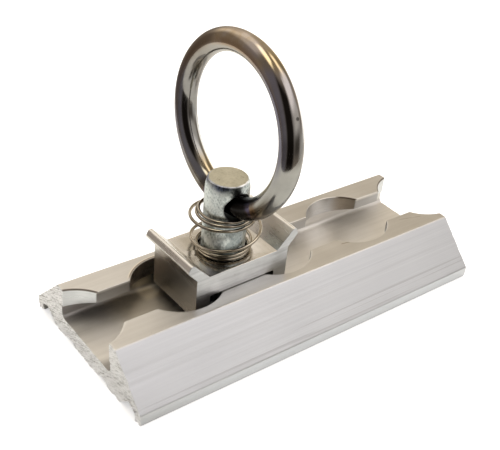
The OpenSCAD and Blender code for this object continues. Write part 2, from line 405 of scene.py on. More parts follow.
def track_milled():
    k = Mat("track_milled_hole")
    lines = k.noise(k.coords((60, 60, 3600)), 1.0, 5, 0.6)
    cloud = k.noise(k.coords(), 240, 3, 0.5)
    c = k.ramp(k.add(k.times(lines, 0.5), k.times(cloud, 0.5)), [(0.36, (0.70, 0.725, 0.745)), (0.64, (0.84, 0.865, 0.89))])
    x, y, z = k.xyz()
    # rubbed brown where the keeper's leg stands; the far side of the free hole is darker, browner towards its right end
    leg = k.range(k.math("ABSOLUTE", k.math("SUBTRACT", x, -0.0258)), 1.0, 0.0, 0.0106, 0.0116)
    c = k.mix(k.times(leg, 0.62), c, k.ramp(cloud, [(0.40, (0.50, 0.37, 0.26)), (0.60, (0.78, 0.60, 0.43))]))
    free = k.times(k.range(k.math("ABSOLUTE", k.math("SUBTRACT", x, 0.0250)), 1.0, 0.0, 0.0106, 0.0116), k.range(y, 0.0, 1.0, 0.002, 0.004))
    c = k.mix(k.times(free, 0.45), c, (0.50, 0.47, 0.44))
    c = k.mix(k.times(k.times(free, k.range(k.add(x, k.times(cloud, 0.003)), 0.0, 1.0, 0.0290, 0.0325, True)), 0.7), c, (0.40, 0.32, 0.235))
    # a pale painted highlight with rubbed wear along the hole's top edge, kept off the painted burr shadow line just
    # below it
    edge_wear_and_highlight = k.times(k.range(z, 0.0, 1.0, 0.01250, 0.01260, True), k.range(cloud, 0.60, 1.0, 0.40, 0.58, True))
    burr_shadow = k.times(burr_shadow_mask(k, 0.01060, 0.01080), k.range(z, 0.0, 1.0, 0.01225, 0.01240, True))
    edge_wear_and_highlight = k.times(edge_wear_and_highlight, k.math("SUBTRACT", 1.0, burr_shadow, True))
    c = k.mix(k.times(edge_wear_and_highlight, 0.90), c, (0.88, 0.83, 0.75))
    c = k.mix(k.times(burr_shadow, 0.85), c, (0.16, 0.13, 0.105))
    r = k.range(lines, 0.26, 0.36, 0.3, 0.7)
    return k.finish(c, r, k.add(lines, cloud), 0.25, 0.00003, k.times(edge_wear_and_highlight, 0.55))


def keeper_drawn():
    k = Mat("keeper_extruded")
    lines = k.noise(k.coords(lined(1, 5200)), 1.0, 5, 0.6)
    bands = k.noise(k.coords((900, 30, 900)), 1.0, 3, 0.5)
    cloud = k.noise(k.coords(), 150, 4, 0.55)
    c = k.ramp(k.add(k.times(bands, 0.5), k.times(cloud, 0.5)), [(0.36, (0.80, 0.782, 0.745)), (0.64, (0.90, 0.88, 0.84))])
    # painted shade: the legs are darker and rougher below the plate, down in the track's holes
    leg = k.range(k.add(k.xyz()[2], k.times(cloud, 0.0005)), 1.0, 0.0, 0.0150, 0.0196, True)
    c = k.mix(k.times(leg, 0.66), c, (0.215, 0.20, 0.19))
    r = k.add(k.range(lines, 0.13, 0.19, 0.3, 0.7), k.range(cloud, -0.03, 0.03, 0.3, 0.7), k.times(leg, 0.15), k.range(k.xyz()[2], 0.0, 0.13, 0.0183, 0.0190))
    return k.finish(c, r, k.add(lines, k.times(bands, 1.5)), 0.07, 0.00003)


def keeper_cut():
    k = Mat("keeper_cut_face")
    lines = k.noise(k.coords((150, 1, 4200), rotation=(0, 0.04, 0)), 1.0, 6, 0.65)
    bands = k.noise(k.coords((45, 1, 900), rotation=(0, 0.04, 0)), 1.0, 3, 0.5)
    cloud = k.noise(k.coords(), 210, 3, 0.5)
    specks = k.range(k.cells(k.coords(), 300), 1.0, 0.0, 0.05, 0.16, True)
    rare = k.range(k.noise(k.coords(location=(0.0, 0.1, 0.0)), 110, 1), 0.0, 1.0, 0.60, 0.64, True)
    c = k.ramp(k.add(k.times(bands, 0.45), k.times(lines, 0.25), k.times(cloud, 0.3)), [(0.38, (0.46, 0.475, 0.495)), (0.48, (0.60, 0.62, 0.645)), (0.60, (0.74, 0.765, 0.79))])
    c = k.mix(k.times(k.times(specks, rare), 0.6), c, (0.30, 0.29, 0.27))
    x, y, z = k.xyz()
    # painted shade over the lower right of the cut face, by the right leg
    painted_shade_low_right = k.times(k.range(k.add(z, k.times(cloud, 0.003)), 1.0, 0.0, 0.0135, 0.0180, True), k.range(x, 0.0, 1.0, -0.0095, -0.0060, True))
    c = k.mix(k.times(painted_shade_low_right, 0.42), c, (0.33, 0.305, 0.27))
    r = k.range(lines, 0.33, 0.46, 0.3, 0.7)
    return k.finish(c, r, k.add(lines, bands, k.times(cloud, 0.5)), 0.6, 0.00006)


def zinc():
    k = Mat("zinc_plated_steel")
    streak = k.noise(k.coords((1500, 1500, 170)), 1.0, 5, 0.6)
    mottle = k.noise(k.coords((1, 1, 0.85)), 2100, 4, 0.7)
    patch = k.noise(k.coords((1, 1, 0.8), location=(0.004, 0.01, 0.0)), 300, 4, 0.55)
    z = k.xyz()[2]
    tone = k.add(k.times(streak, 0.06), k.times(mottle, 0.62), k.times(patch, 0.32))
    c = k.ramp(tone, [(0.42, (0.33, 0.385, 0.40)), (0.48, (0.59, 0.65, 0.655)), (0.56, (0.81, 0.865, 0.86))])
    # painted shade round the cross-hole, a painted dark reflection streak that runs up from it to the rim, and a
    # painted bluish-black reflection band under the rim beside it
    x, y = k.xyz()[:2]
    across = k.math("SUBTRACT", x, -0.01425)
    off = k.math("POWER", k.add(k.math("POWER", across, 2.0), k.math("POWER", k.math("SUBTRACT", z, 0.0307), 2.0)), 0.5)
    hole = k.range(k.add(off, k.times(patch, 0.0012)), 1.0, 0.0, 0.0036, 0.0043, True)
    clear = k.times(k.range(x, 0.0, 1.0, -0.0136, -0.0122, True), k.range(k.add(z, k.times(mottle, 0.0008)), 0.0, 1.0, 0.0332, 0.0343, True))
    hole = k.times(hole, k.math("SUBTRACT", 1.0, k.times(clear, 0.75)))
    up = k.math("ABSOLUTE", k.add(k.math("SUBTRACT", x, -0.0161), k.times(patch, -0.0012), k.times(mottle, -0.0006), k.times(k.math("SUBTRACT", z, 0.0345), -0.10)))
    reflected_dark_streak = k.times(k.range(up, 1.0, 0.0, 0.0006, 0.0015, True), k.range(z, 0.0, 1.0, 0.0325, 0.0335, True))
    side = k.range(x, 1.0, 0.0, -0.0172, -0.0150, True)
    reflected_dark_band = k.times(k.range(k.add(z, k.times(patch, 0.0030), k.times(mottle, 0.0012)), 0.0, 1.0, 0.0370, 0.0377, True), k.times(side, k.range(x, 0.25, 1.0, -0.0188, -0.0182, True)))
    # painted shade and reflection of the spring's top coils: a dark band low on the shaft
    foot = k.range(k.add(z, k.times(patch, 0.0022)), 1.0, 0.0, 0.0287, 0.0301, True)
    low = k.range(z, 0.0, 1.0, 0.0262, 0.0270, True)
    c = k.mix(k.times(reflected_dark_band, 0.90), c, k.ramp(mottle, [(0.42, (0.045, 0.055, 0.085)), (0.58, (0.20, 0.235, 0.36))]))
    c = k.mix(k.times(k.times(foot, low), 0.60), c, (0.16, 0.165, 0.175))
    dull = k.times(k.range(z, 1.0, 0.0, 0.0262, 0.0272, True), k.range(patch, 1.0, 0.0, 0.44, 0.56, True))
    c = k.mix(k.times(dull, 0.62), c, (0.20, 0.235, 0.245))
    c = k.mix(k.times(reflected_dark_streak, 0.80), c, (0.085, 0.10, 0.098))
    # painted shade: the cross-hole and the shaft round its mouth are painted near black
    c = k.mix(k.times(hole, 0.95), c, (0.030, 0.027, 0.027))
    out = k.math("POWER", k.add(k.math("POWER", k.math("SUBTRACT", x, -0.01405), 2.0), k.math("POWER", y, 2.0)), 0.5)
    top = k.times(k.range(z, 0.0, 1.0, 0.0355, 0.0358), k.range(k.add(out, k.times(mottle, 0.0004)), 1.0, 0.0, 0.00432, 0.00450, True))
    # a painted white highlight along the rim, fuller to the right and partly matt
    rim = k.times(k.range(z, 0.0, 1.0, 0.03585, 0.03600, True), k.range(patch, 0.35, 1.0, 0.42, 0.56, True))
    rim = k.times(k.times(rim, k.math("SUBTRACT", 1.0, top)), k.range(k.add(x, k.times(y, -0.5)), 0.35, 1.0, -0.0155, -0.0105, True))
    c = k.mix(rim, c, (0.93, 0.93, 0.92))
    tan = k.ramp(k.add(k.times(mottle, 0.5), k.times(patch, 0.5)), [(0.38, (0.54, 0.525, 0.42)), (0.50, (0.66, 0.645, 0.53)), (0.60, (0.74, 0.72, 0.60))])
    c = k.mix(top, c, tan)
    r = k.add(k.range(mottle, 0.30, 0.42, 0.3, 0.7), k.range(patch, -0.08, 0.08, 0.35, 0.65), k.times(rim, 0.15))
    h = k.add(k.times(streak, 0.5), k.times(mottle, 1.2))
    return k.finish(c, r, h, 0.28, 0.00004, k.times(rim, 0.75))


def ring_steel():
    k = Mat("polished_ring_steel")
    x, y, z = k.xyz()
    wave = k.noise(k.coords(), 95, 3, 0.5)
    hair = k.noise(k.coords((600, 600, 600)), 1.0, 4, 0.6)
    patch = k.noise(k.coords(location=(0.02, 0.013, 0.007)), 210, 4, 0.6)
    steel = k.ramp(patch, [(0.40, (0.365, 0.365, 0.35)), (0.60, (0.41, 0.41, 0.39))])
    tone = k.add(k.times(wave, 0.5), k.times(patch, 0.5))
    brown = k.ramp(tone, [(0.38, (0.38, 0.29, 0.185)), (0.46, (0.48, 0.385, 0.27)), (0.54, (0.53, 0.46, 0.39)), (0.62, (0.49, 0.435, 0.41))])
    plum = k.ramp(tone, [(0.38, (0.105, 0.090, 0.090)), (0.50, (0.155, 0.138, 0.148)), (0.62, (0.155, 0.148, 0.195))])
    plum = k.mix(k.range(k.add(z, k.times(wave, 0.004)), 0.0, 1.0, 0.0540, 0.0610, True), plum, (0.175, 0.128, 0.090))
    grey = k.ramp(tone, [(0.38, (0.29, 0.265, 0.255)), (0.50, (0.40, 0.375, 0.365)), (0.62, (0.42, 0.395, 0.41))])
    # the outside of the top and of the far limb is heat-tinted; the near limb's lower half stayed bright
    far = k.range(k.add(y, k.times(wave, 0.006)), 0.0, 1.0, 0.0085, 0.0190, True)
    close = k.range(k.add(y, k.times(wave, 0.006)), 1.0, 0.0, -0.011, -0.001, True)
    warm = k.mix(far, k.mix(close, brown, grey), plum)
    high = k.range(k.add(z, k.times(y, 0.5), k.times(wave, 0.012)), 0.0, 1.0, 0.042, 0.060, True)
    radial = k.math("POWER", k.add(k.math("POWER", k.math("SUBTRACT", y, 0.0005), 2.0), k.math("POWER", k.math("SUBTRACT", z, 0.04796), 2.0)), 0.5)
    outside = k.range(k.add(radial, k.times(wave, 0.0006)), 0.30, 1.0, 0.0166, 0.0179, True)
    c = k.mix(k.times(k.times(high, outside), 0.94), steel, warm)
    shade = k.times(k.range(y, 0.0, 1.0, 0.0065, 0.0095, True), k.range(radial, 0.0, 1.0, 0.0168, 0.0177, True))
    c = k.mix(k.times(shade, 0.72), c, plum)
    crest = k.times(k.range(radial, 0.0, 1.0, 0.01955, 0.01985, True), k.range(y, 0.0, 1.0, -0.0005, 0.0025, True))
    c = k.mix(k.times(crest, 0.6), c, (0.22, 0.17, 0.13))
    # a painted dark reflection patch half-way down the near limb
    dark_reflection_patch = k.times(k.range(k.math("ABSOLUTE", k.add(z, -0.0516, k.times(wave, 0.002))), 1.0, 0.0, 0.0012, 0.0042, True), k.range(y, 1.0, 0.0, -0.0172, -0.0155, True))
    c = k.mix(k.times(dark_reflection_patch, 0.46), c, (0.10, 0.078, 0.066))
    # orange where the tint begins, and gold along the outer side just past the top
    edge = k.times(k.range(radial, 0.0, 1.0, 0.0162, 0.0172, True), k.range(radial, 1.0, 0.0, 0.0176, 0.0188, True))
    c = k.mix(k.times(k.times(k.times(edge, high), k.range(k.math("ABSOLUTE", k.add(y, k.times(wave, 0.004), -0.002)), 1.0, 0.0, 0.004, 0.0095, True)), 0.68), c, (0.315, 0.215, 0.135))
    gold = k.times(k.range(k.add(y, k.times(wave, 0.003)), 1.0, 0.0, -0.0055, -0.0025, True), k.range(z, 0.0, 1.0, 0.0630, 0.0652, True))
    c = k.mix(k.times(k.times(gold, k.range(radial, 0.0, 1.0, 0.0172, 0.0184, True)), 0.75), c, (0.48, 0.385, 0.225))
    # a purple cast along the inner side of the near limb's upper half
    cast = k.times(k.range(y, 1.0, 0.0, -0.0125, -0.0030, True), k.range(z, 0.0, 1.0, 0.041, 0.050, True))
    c = k.mix(k.times(k.times(cast, k.range(radial, 1.0, 0.0, 0.0170, 0.0186, True)), 0.82), c, (0.115, 0.110, 0.172))
    # heat tint and grime where the wire passes through the stud: brown, then violet, then black, the black partly
    # painted shade from the stud's hole
    near = k.math("POWER", k.add(k.math("POWER", y, 2.0), k.math("POWER", k.math("SUBTRACT", z, 0.0300), 2.0)), 0.5)
    near = k.add(near, k.times(wave, 0.0030), k.times(patch, 0.0015))
    beyond = k.range(y, 0.0, 1.0, 0.0010, 0.0045, True)
    straw = k.times(k.times(k.range(near, 1.0, 0.0, 0.0125, 0.0165, True), beyond), k.range(k.add(x, k.times(patch, 0.0008)), 0.12, 1.0, -0.0152, -0.0140, True))
    c = k.mix(k.times(straw, 0.75), c, (0.46, 0.37, 0.22))
    near = k.add(near, k.times(beyond, 0.0060))
    under = k.range(radial, 0.0, 1.0, 0.0166, 0.0182, True)
    tan = k.range(near, 1.0, 0.0, 0.0170, 0.0228, True)
    c = k.mix(k.times(k.times(tan, under), 0.9), c, (0.115, 0.092, 0.058))
    umber = k.range(near, 1.0, 0.0, 0.0145, 0.0163, True)
    c = k.mix(k.times(umber, k.add(0.65, k.times(under, 0.35))), c, k.ramp(patch, [(0.42, (0.030, 0.017, 0.009)), (0.54, (0.085, 0.048, 0.023)), (0.62, (0.19, 0.115, 0.055))]))
    violet = k.times(k.range(near, 1.0, 0.0, 0.0131, 0.0139, True), k.range(patch, 0.0, 1.0, 0.44, 0.56, True))
    c = k.mix(k.times(violet, 0.8), c, (0.070, 0.066, 0.135))
    black_grime_and_shade = k.range(near, 1.0, 0.0, 0.0114, 0.0130, True)
    c = k.mix(black_grime_and_shade, c, (0.009, 0.008, 0.008))
    burnt = umber
    nick = k.math("POWER", k.add(k.math("POWER", k.add(x, 0.0125), 2.0), k.math("POWER", k.add(y, 0.0172), 2.0), k.math("POWER", k.add(z, -0.0572), 2.0)), 0.5)
    c = k.mix(k.times(k.range(k.add(nick, k.times(patch, 0.0003)), 1.0, 0.0, 0.00035, 0.00065, True), 0.8), c, (0.055, 0.05, 0.045))
    r = k.add(k.range(hair, 0.07, 0.13, 0.3, 0.7), k.range(wave, -0.02, 0.04, 0.35, 0.65), k.times(burnt, 0.10))
    return k.finish(c, r, k.add(k.times(wave, 6.0), hair), 0.05, 0.00004)


def spring_steel():
    k = Mat("spring_wire_steel")
    v = k.noise(k.coords(), 700, 4, 0.6)
    w = k.noise(k.coords(), 160, 2, 0.5)
    c = k.ramp(k.add(k.times(v, 0.5), k.times(w, 0.5)), [(0.38, (0.115, 0.098, 0.072)), (0.62, (0.27, 0.235, 0.18))])
    # painted highlight: the upper side of the wire, which faces the lamps, is painted bright; the rest keeps its dark
    # brown
    split = k.node("ShaderNodeSeparateXYZ")
    k.join(k.node("ShaderNodeNewGeometry").outputs["Normal"], split.inputs[0])
    n = split.outputs[2]
    painted_top_highlight = k.times(k.range(k.add(n, k.times(v, 0.3)), 0.0, 1.0, 0.42, 0.62, True), k.range(n, 1.0, 0.25, 0.93, 0.985, True))
    c = k.mix(k.times(painted_top_highlight, 0.85), c, k.ramp(w, [(0.40, (0.44, 0.395, 0.32)), (0.60, (0.68, 0.625, 0.53))]))
    r = k.range(v, 0.09, 0.15, 0.3, 0.7)
    return k.finish(c, r, v, 0.08, 0.00002)


top_mat, flank_mat, saw_mat, cavity_mat, milled_mat = track_top(), track_flank(), sawn_end(), track_cavity(), track_milled()
keeper_mat, keeper_cut_mat = keeper_drawn(), keeper_cut()
zinc_mat, ring_mat, spring_mat = zinc(), ring_steel(), spring_steel()

# ---------------------------------------------------------------- track
L2, PITCH, SHIFT, HR = 48.57, 25.4, -0.4, 10.26
SLOT, TOPZ, FLOOR, CAV = 5.65, 12.7, 5.05, 10.34
LIP, ROOT = 3.0, 4.65
SLOPE = (ROOT - LIP) / (CAV - SLOT)
HOLES = [SHIFT + i * PITCH for i in range(-2, 3)]


def lip_w(x):
    """Half-width of the opening between the lips at x: the slot, widened by each entry hole."""
    w = SLOT
    for h in HOLES:
        d = HR * HR - (x - h) ** 2
        if d > 0:
            t = math.sqrt(d) - SLOT
            w = max(w, SLOT + 0.5 * (t + math.sqrt(t * t + 0.08**2)))
    return min(w, CAV - 0.05)


# Straight stretches get a fixed number of steps each, so every section has the same points.
STEPS = [9, 2, 4, 2, 8, 8, 5, 2, 4, 5, 16, 8, 3, 2, 4, 12]
ARC = 4
# What each stretch of the outline is: 0 top and underside, 1 flank, 3 cavity, 4 edge of the lip.
STRETCH = [0] * 9 + [1, 1, 0, 4, 3, 3, 3]


def outline_kinds():
    """The kind of each edge of the closed outline, in the same order as section() gives its points."""
    half = []
    for i, k in enumerate(STEPS):
        half += [STRETCH[i]] * k
        if i < len(STEPS) - 1:
            a, b = STRETCH[i], STRETCH[i + 1]
            half += [4] * ARC if 4 in (a, b) else [a] * (ARC // 2) + [b] * (ARC - ARC // 2)
    return half + half[::-1]


def section(w):
    """The track's closed outline at a place where the lips end at half-width w."""
    under = TOPZ - LIP - (w - SLOT) * SLOPE
    root = TOPZ - ROOT
    c = [
        (0, 0, 0), (4.9, 0, 0.3), (5.9, 0.95, 0.3), (8.1, 0.95, 0.3), (9.3, 0, 0.3), (13.9, 0, 0.4), (17.5, 3.2, 0.5),
        (19.9, 2.1, 0.3), (20.1, 0, 0.3), (22.2, 0, 0.5), (22.2, 2.86, 0.8), (12.16, 12.7, 0.5),
        (w, TOPZ, 0.2), (w, under, 0.12), (CAV, root, 0.02), (CAV, FLOOR, 1.1), (0, FLOOR, 0),
    ]
    pts = [(0.0, 0.0)]
    for i, k in zip(range(1, len(c) - 1), STEPS):
        arc = arc_corner(c[i - 1][:2], c[i][:2], c[i + 1][:2], c[i][2], ARC)
        a, b = Vector(pts[-1]), Vector(arc[0])
        pts += [tuple(a + (b - a) * (j / k)) for j in range(1, k)]
        pts += arc
    a, b = Vector(pts[-1]), Vector((0.0, FLOOR))
    k = STEPS[-1]
    pts += [tuple(a + (b - a) * (j / k)) for j in range(1, k + 1)]
    left = [(-y, z) for y, z in reversed(pts[1:-1])]
    return pts + left


def stations():
    xs = {-L2, L2}
    for x in range(-48, 49, 3):
        xs.add(float(x))
    for d in (0.25, 0.5, 1.0):
        xs.add(-L2 + d)
        xs.add(L2 - d)
    for h in HOLES:
        e = math.sqrt(HR * HR - SLOT * SLOT)
        n = 40
        for i in range(n + 1):
            xs.add(h - e + 2 * e * i / n)
        for s in (-1, 1):
            for d in (-0.5, -0.3, -0.2, -0.14, -0.1, -0.06, -0.03, 0.03, 0.06, 0.1, 0.14, 0.2, 0.3):
                xs.add(h + s * (e - d))
    xs = sorted(x for x in xs if -L2 <= x <= L2)
    out = [xs[0]]
    for x in xs[1:]:
        if x - out[-1] > 0.02:
            out.append(x)
    out[-1] = L2
    return out


# Where the saw broke through: heights of the ledge across the end, from the back foot to the front one.
LEDGE = [(22.3, 1.9), (16.3, 2.2), (6.4, 3.1), (-3.0, 4.3), (-6.7, 3.4), (-8.6, 4.6), (-10.2, 5.8), (-16.7, 8.4), (-22.3, 10.6)]


def ledge_z(y):
    for (y1, z1), (y2, z2) in zip(LEDGE, LEDGE[1:]):
        if y2 <= y <= y1:
            return z1 + (z2 - z1) * (y1 - y) / (y1 - y2)
    return LEDGE[0][1] if y > 0 else LEDGE[-1][1]


def saw_height(y, z, side):
    """Outward relief of a sawn end in mm: marks along Y, a torn ledge, and grain."""
    s = 3.7 * side
    yy = y if side < 0 else -y
    tilt = z * 0.913 + yy * 0.408
    along = yy * 0.913 - z * 0.408
    marks = 0.055 * noise.noise(Vector((along * 0.30 + s, tilt * 1.9, 1.3))) + 0.03 * noise.noise(Vector((along * 0.8, tilt * 4.2, 7 + s)))
    lower = smooth01((ledge_z(yy) + 0.12 * math.sin(yy * 2.3 + s) - z) / 0.16 + 0.5)
    torn = noise.noise(Vector((yy * 2.2, z * 2.2, 4 + s))) * 0.15 + noise.noise(Vector((yy * 4.6, z * 4.6, 2 + s))) * 0.10
    return marks + lower * (torn - 0.24) + (1 - lower) * 0.03 * noise.noise(Vector((yy * 3.0, z * 3.0, 4 + s))) - 0.06


def build_track():
    xs = stations()
    rows = [section(lip_w(x)) for x in xs]
    n = len(rows[0])
    rng = np.random.default_rng(11)
    verts = []
    for i, (x, row) in enumerate(zip(xs, rows)):
        end = min(x + L2, L2 - x)
        side = -1 if x < 0 else 1
        for j, (y, z) in enumerate(row):
            dx = dy = dz = 0.0
            if end < 1.5 and z < 1.2:
                # along the underside the saw tore pieces out
                q = Vector((y, 7.0 * side, 2.0))
                tear = max(0.0, noise.cell(q * 0.7)) * 0.5 + max(0.0, noise.cell(q * 1.6)) * 0.35 + max(0.0, noise.noise(q * 1.7)) * 0.25
                dx -= side * (1 - end / 1.5) * min(0.85, tear) * (1 - z / 1.2)
            if end < 0.3:
                # the saw leaves the edges of the cut slightly ragged
                k = 1 - end / 0.3
                q = Vector((y * 1.9, z * 1.9, 5.0 * side))
                dx -= side * k * (0.07 + 0.16 * max(0.0, noise.noise(q * 1.3)) + 0.05 * noise.noise(q * 3.1))
                if z > 0.05:
                    dy = 0.10 * k * noise.noise(q * 1.7 + Vector((9, 0, 0)))
                    dz = 0.08 * k * noise.noise(q * 1.7 + Vector((0, 9, 0)))
                if abs(y) > 22.0:
                    dy = -abs(dy) * (1 if y > 0 else -1)
                if z > TOPZ - 0.05:
                    dz = -abs(dz)
            verts.append(((x + dx) * MM, (y + dy) * MM, (z + dz) * MM))
    faces = []
    for i in range(len(xs) - 1):
        for j in range(n):
            k = (j + 1) % n
            faces.append((i * n + j, (i + 1) * n + j, (i + 1) * n + k, i * n + k))
    # sawn ends: triangles over the outline and a jittered grid of inner points
    for side, base in ((-1, 0), (1, (len(xs) - 1) * n)):
        loop = [(verts[base + j][1] / MM, verts[base + j][2] / MM) for j in range(n)]
        loop_x = [verts[base + j][0] / MM for j in range(n)]
        poly = np.array(loop)
        gy, gz = np.meshgrid(np.arange(-22.1, 22.11, 0.27), np.arange(0.12, 12.65, 0.17), indexing="ij")
        pts = np.stack([gy.ravel(), gz.ravel()], 1)
        pts = pts + rng.uniform(-1, 1, pts.shape) * np.array([0.08, 0.05])
        pts = pts[inside(poly, pts)]
        pts = pts[edge_distance(poly, pts) > 0.13]
        pts2 = [Vector(p) for p in loop] + [Vector(p) for p in pts]
        res = geometry.delaunay_2d_cdt(pts2, [(i, (i + 1) % n) for i in range(n)], [], 1, 1e-7)
        vs, fs, orig = res[0], res[2], res[3]
        flat = np.array([(v.x, v.y) for v in vs])
        dist = edge_distance(poly, flat)
        remap = {}
        for idx, v in enumerate(vs):
            src = [o for o in orig[idx] if o < n]
            if src:
                remap[idx] = base + src[0]
            else:
                remap[idx] = len(verts)
                h = min(0.0, saw_height(v.x, v.y, side)) * min(1.0, float(dist[idx]) / 0.3)
                verts.append(((side * (L2 + h)) * MM, v.x * MM, v.y * MM))
        for f in fs:
            t = [remap[i] for i in f]
            if len(set(t)) == 3:
                faces.append(tuple(t))
    return mesh_from("track_body", verts, faces, 34)


track_mesh = build_track()
track = link("track_body", track_mesh)
for mt in (top_mat.m, flank_mat.m, saw_mat.m, cavity_mat.m, milled_mat.m):
    track_mesh.materials.append(mt)
kinds = outline_kinds()
strips = (len(stations()) - 1) * len(kinds)
for f in track_mesh.polygons:
    if f.index >= strips:
        f.material_index = 2
    else:
        kind = kinds[f.index % len(kinds)]
        c = f.center / MM
        if kind == 4 and (lip_w(c.x) < SLOT + 0.15 or abs(f.normal.z) > 0.8):
            kind = 0
        f.material_index = kind
flat_faces_first(track)
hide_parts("track")
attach(track, "track")

# ---------------------------------------------------------------- ring
SX, EYE, TILT_Z, RR, RW, SAG, LEAN = -14.05, 30.7, 31.05, 17.5, 2.5, 0.59, math.radians(3.0)
SHIFT_Y = 0.5
# the whole fitting stands turned a little about the stud
TURN_C, TURN_S = math.cos(math.radians(0.9)), math.sin(math.radians(0.9))


def place(x, y, z):
    """A point of the fitting, given from the stud's axis, in metres in the row frame."""
    return ((SX + x * TURN_C - y * TURN_S) * MM, (x * TURN_S + y * TURN_C) * MM, z * MM)


def build_ring():
    a_n, b_n = 288, 56
    verts, faces = [], []
    cl, sl = math.cos(LEAN), math.sin(LEAN)
    for i in range(a_n):
        a = 2 * math.pi * i / a_n
        for j in range(b_n):
            b = 2 * math.pi * j / b_n
            # the ring is a little out of round beside the stud
            rad = RR + 0.3 * smooth01(1 - abs(math.degrees(a) - 330) / 24) + RW * math.cos(b)
            lx, ly, lz = RW * math.sin(b), rad * math.sin(a), (RR - SAG) - rad * math.cos(a)
            x, z = lx * cl + lz * sl, -lx * sl + lz * cl
            verts.append(place(x, ly + SHIFT_Y, TILT_Z + z))
    for i in range(a_n):
        for j in range(b_n):
            k, l = (i + 1) % a_n, (j + 1) % b_n
            faces.append((i * b_n + j, k * b_n + j, k * b_n + l, i * b_n + l))
    return mesh_from("ring_body", verts, faces, 180)


ring = link("ring_body", build_ring())
ring.data.materials.append(ring_mat.m)
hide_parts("ring")
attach(ring, "ring")

# ---------------------------------------------------------------- stud
SR, EYE_R, TOP = 4.92, 3.3, 36.14
# the shaft's radius eases in towards the top, ending in a rounded rim
SHOULDER = [(30.0, 4.92), (33.2, 4.92), (33.9, 4.895), (34.5, 4.84), (35.0, 4.76), (35.4, 4.68), (35.7, 4.605), (35.9, 4.53), (36.02, 4.44), (36.1, 4.31), (36.13, 4.15)]
FOOT_R = 8.5
PATCH_X, PATCH_Z = 4.1, 4.5


def shaft_r(z):
    """The shaft's radius at height z."""
    for (z1, r1), (z2, r2) in zip(SHOULDER, SHOULDER[1:]):
        if z1 <= z <= z2:
            return r1 + (r2 - r1) * (z - z1) / (z2 - z1)
    return SR if z < SHOULDER[0][0] else SHOULDER[-1][1]


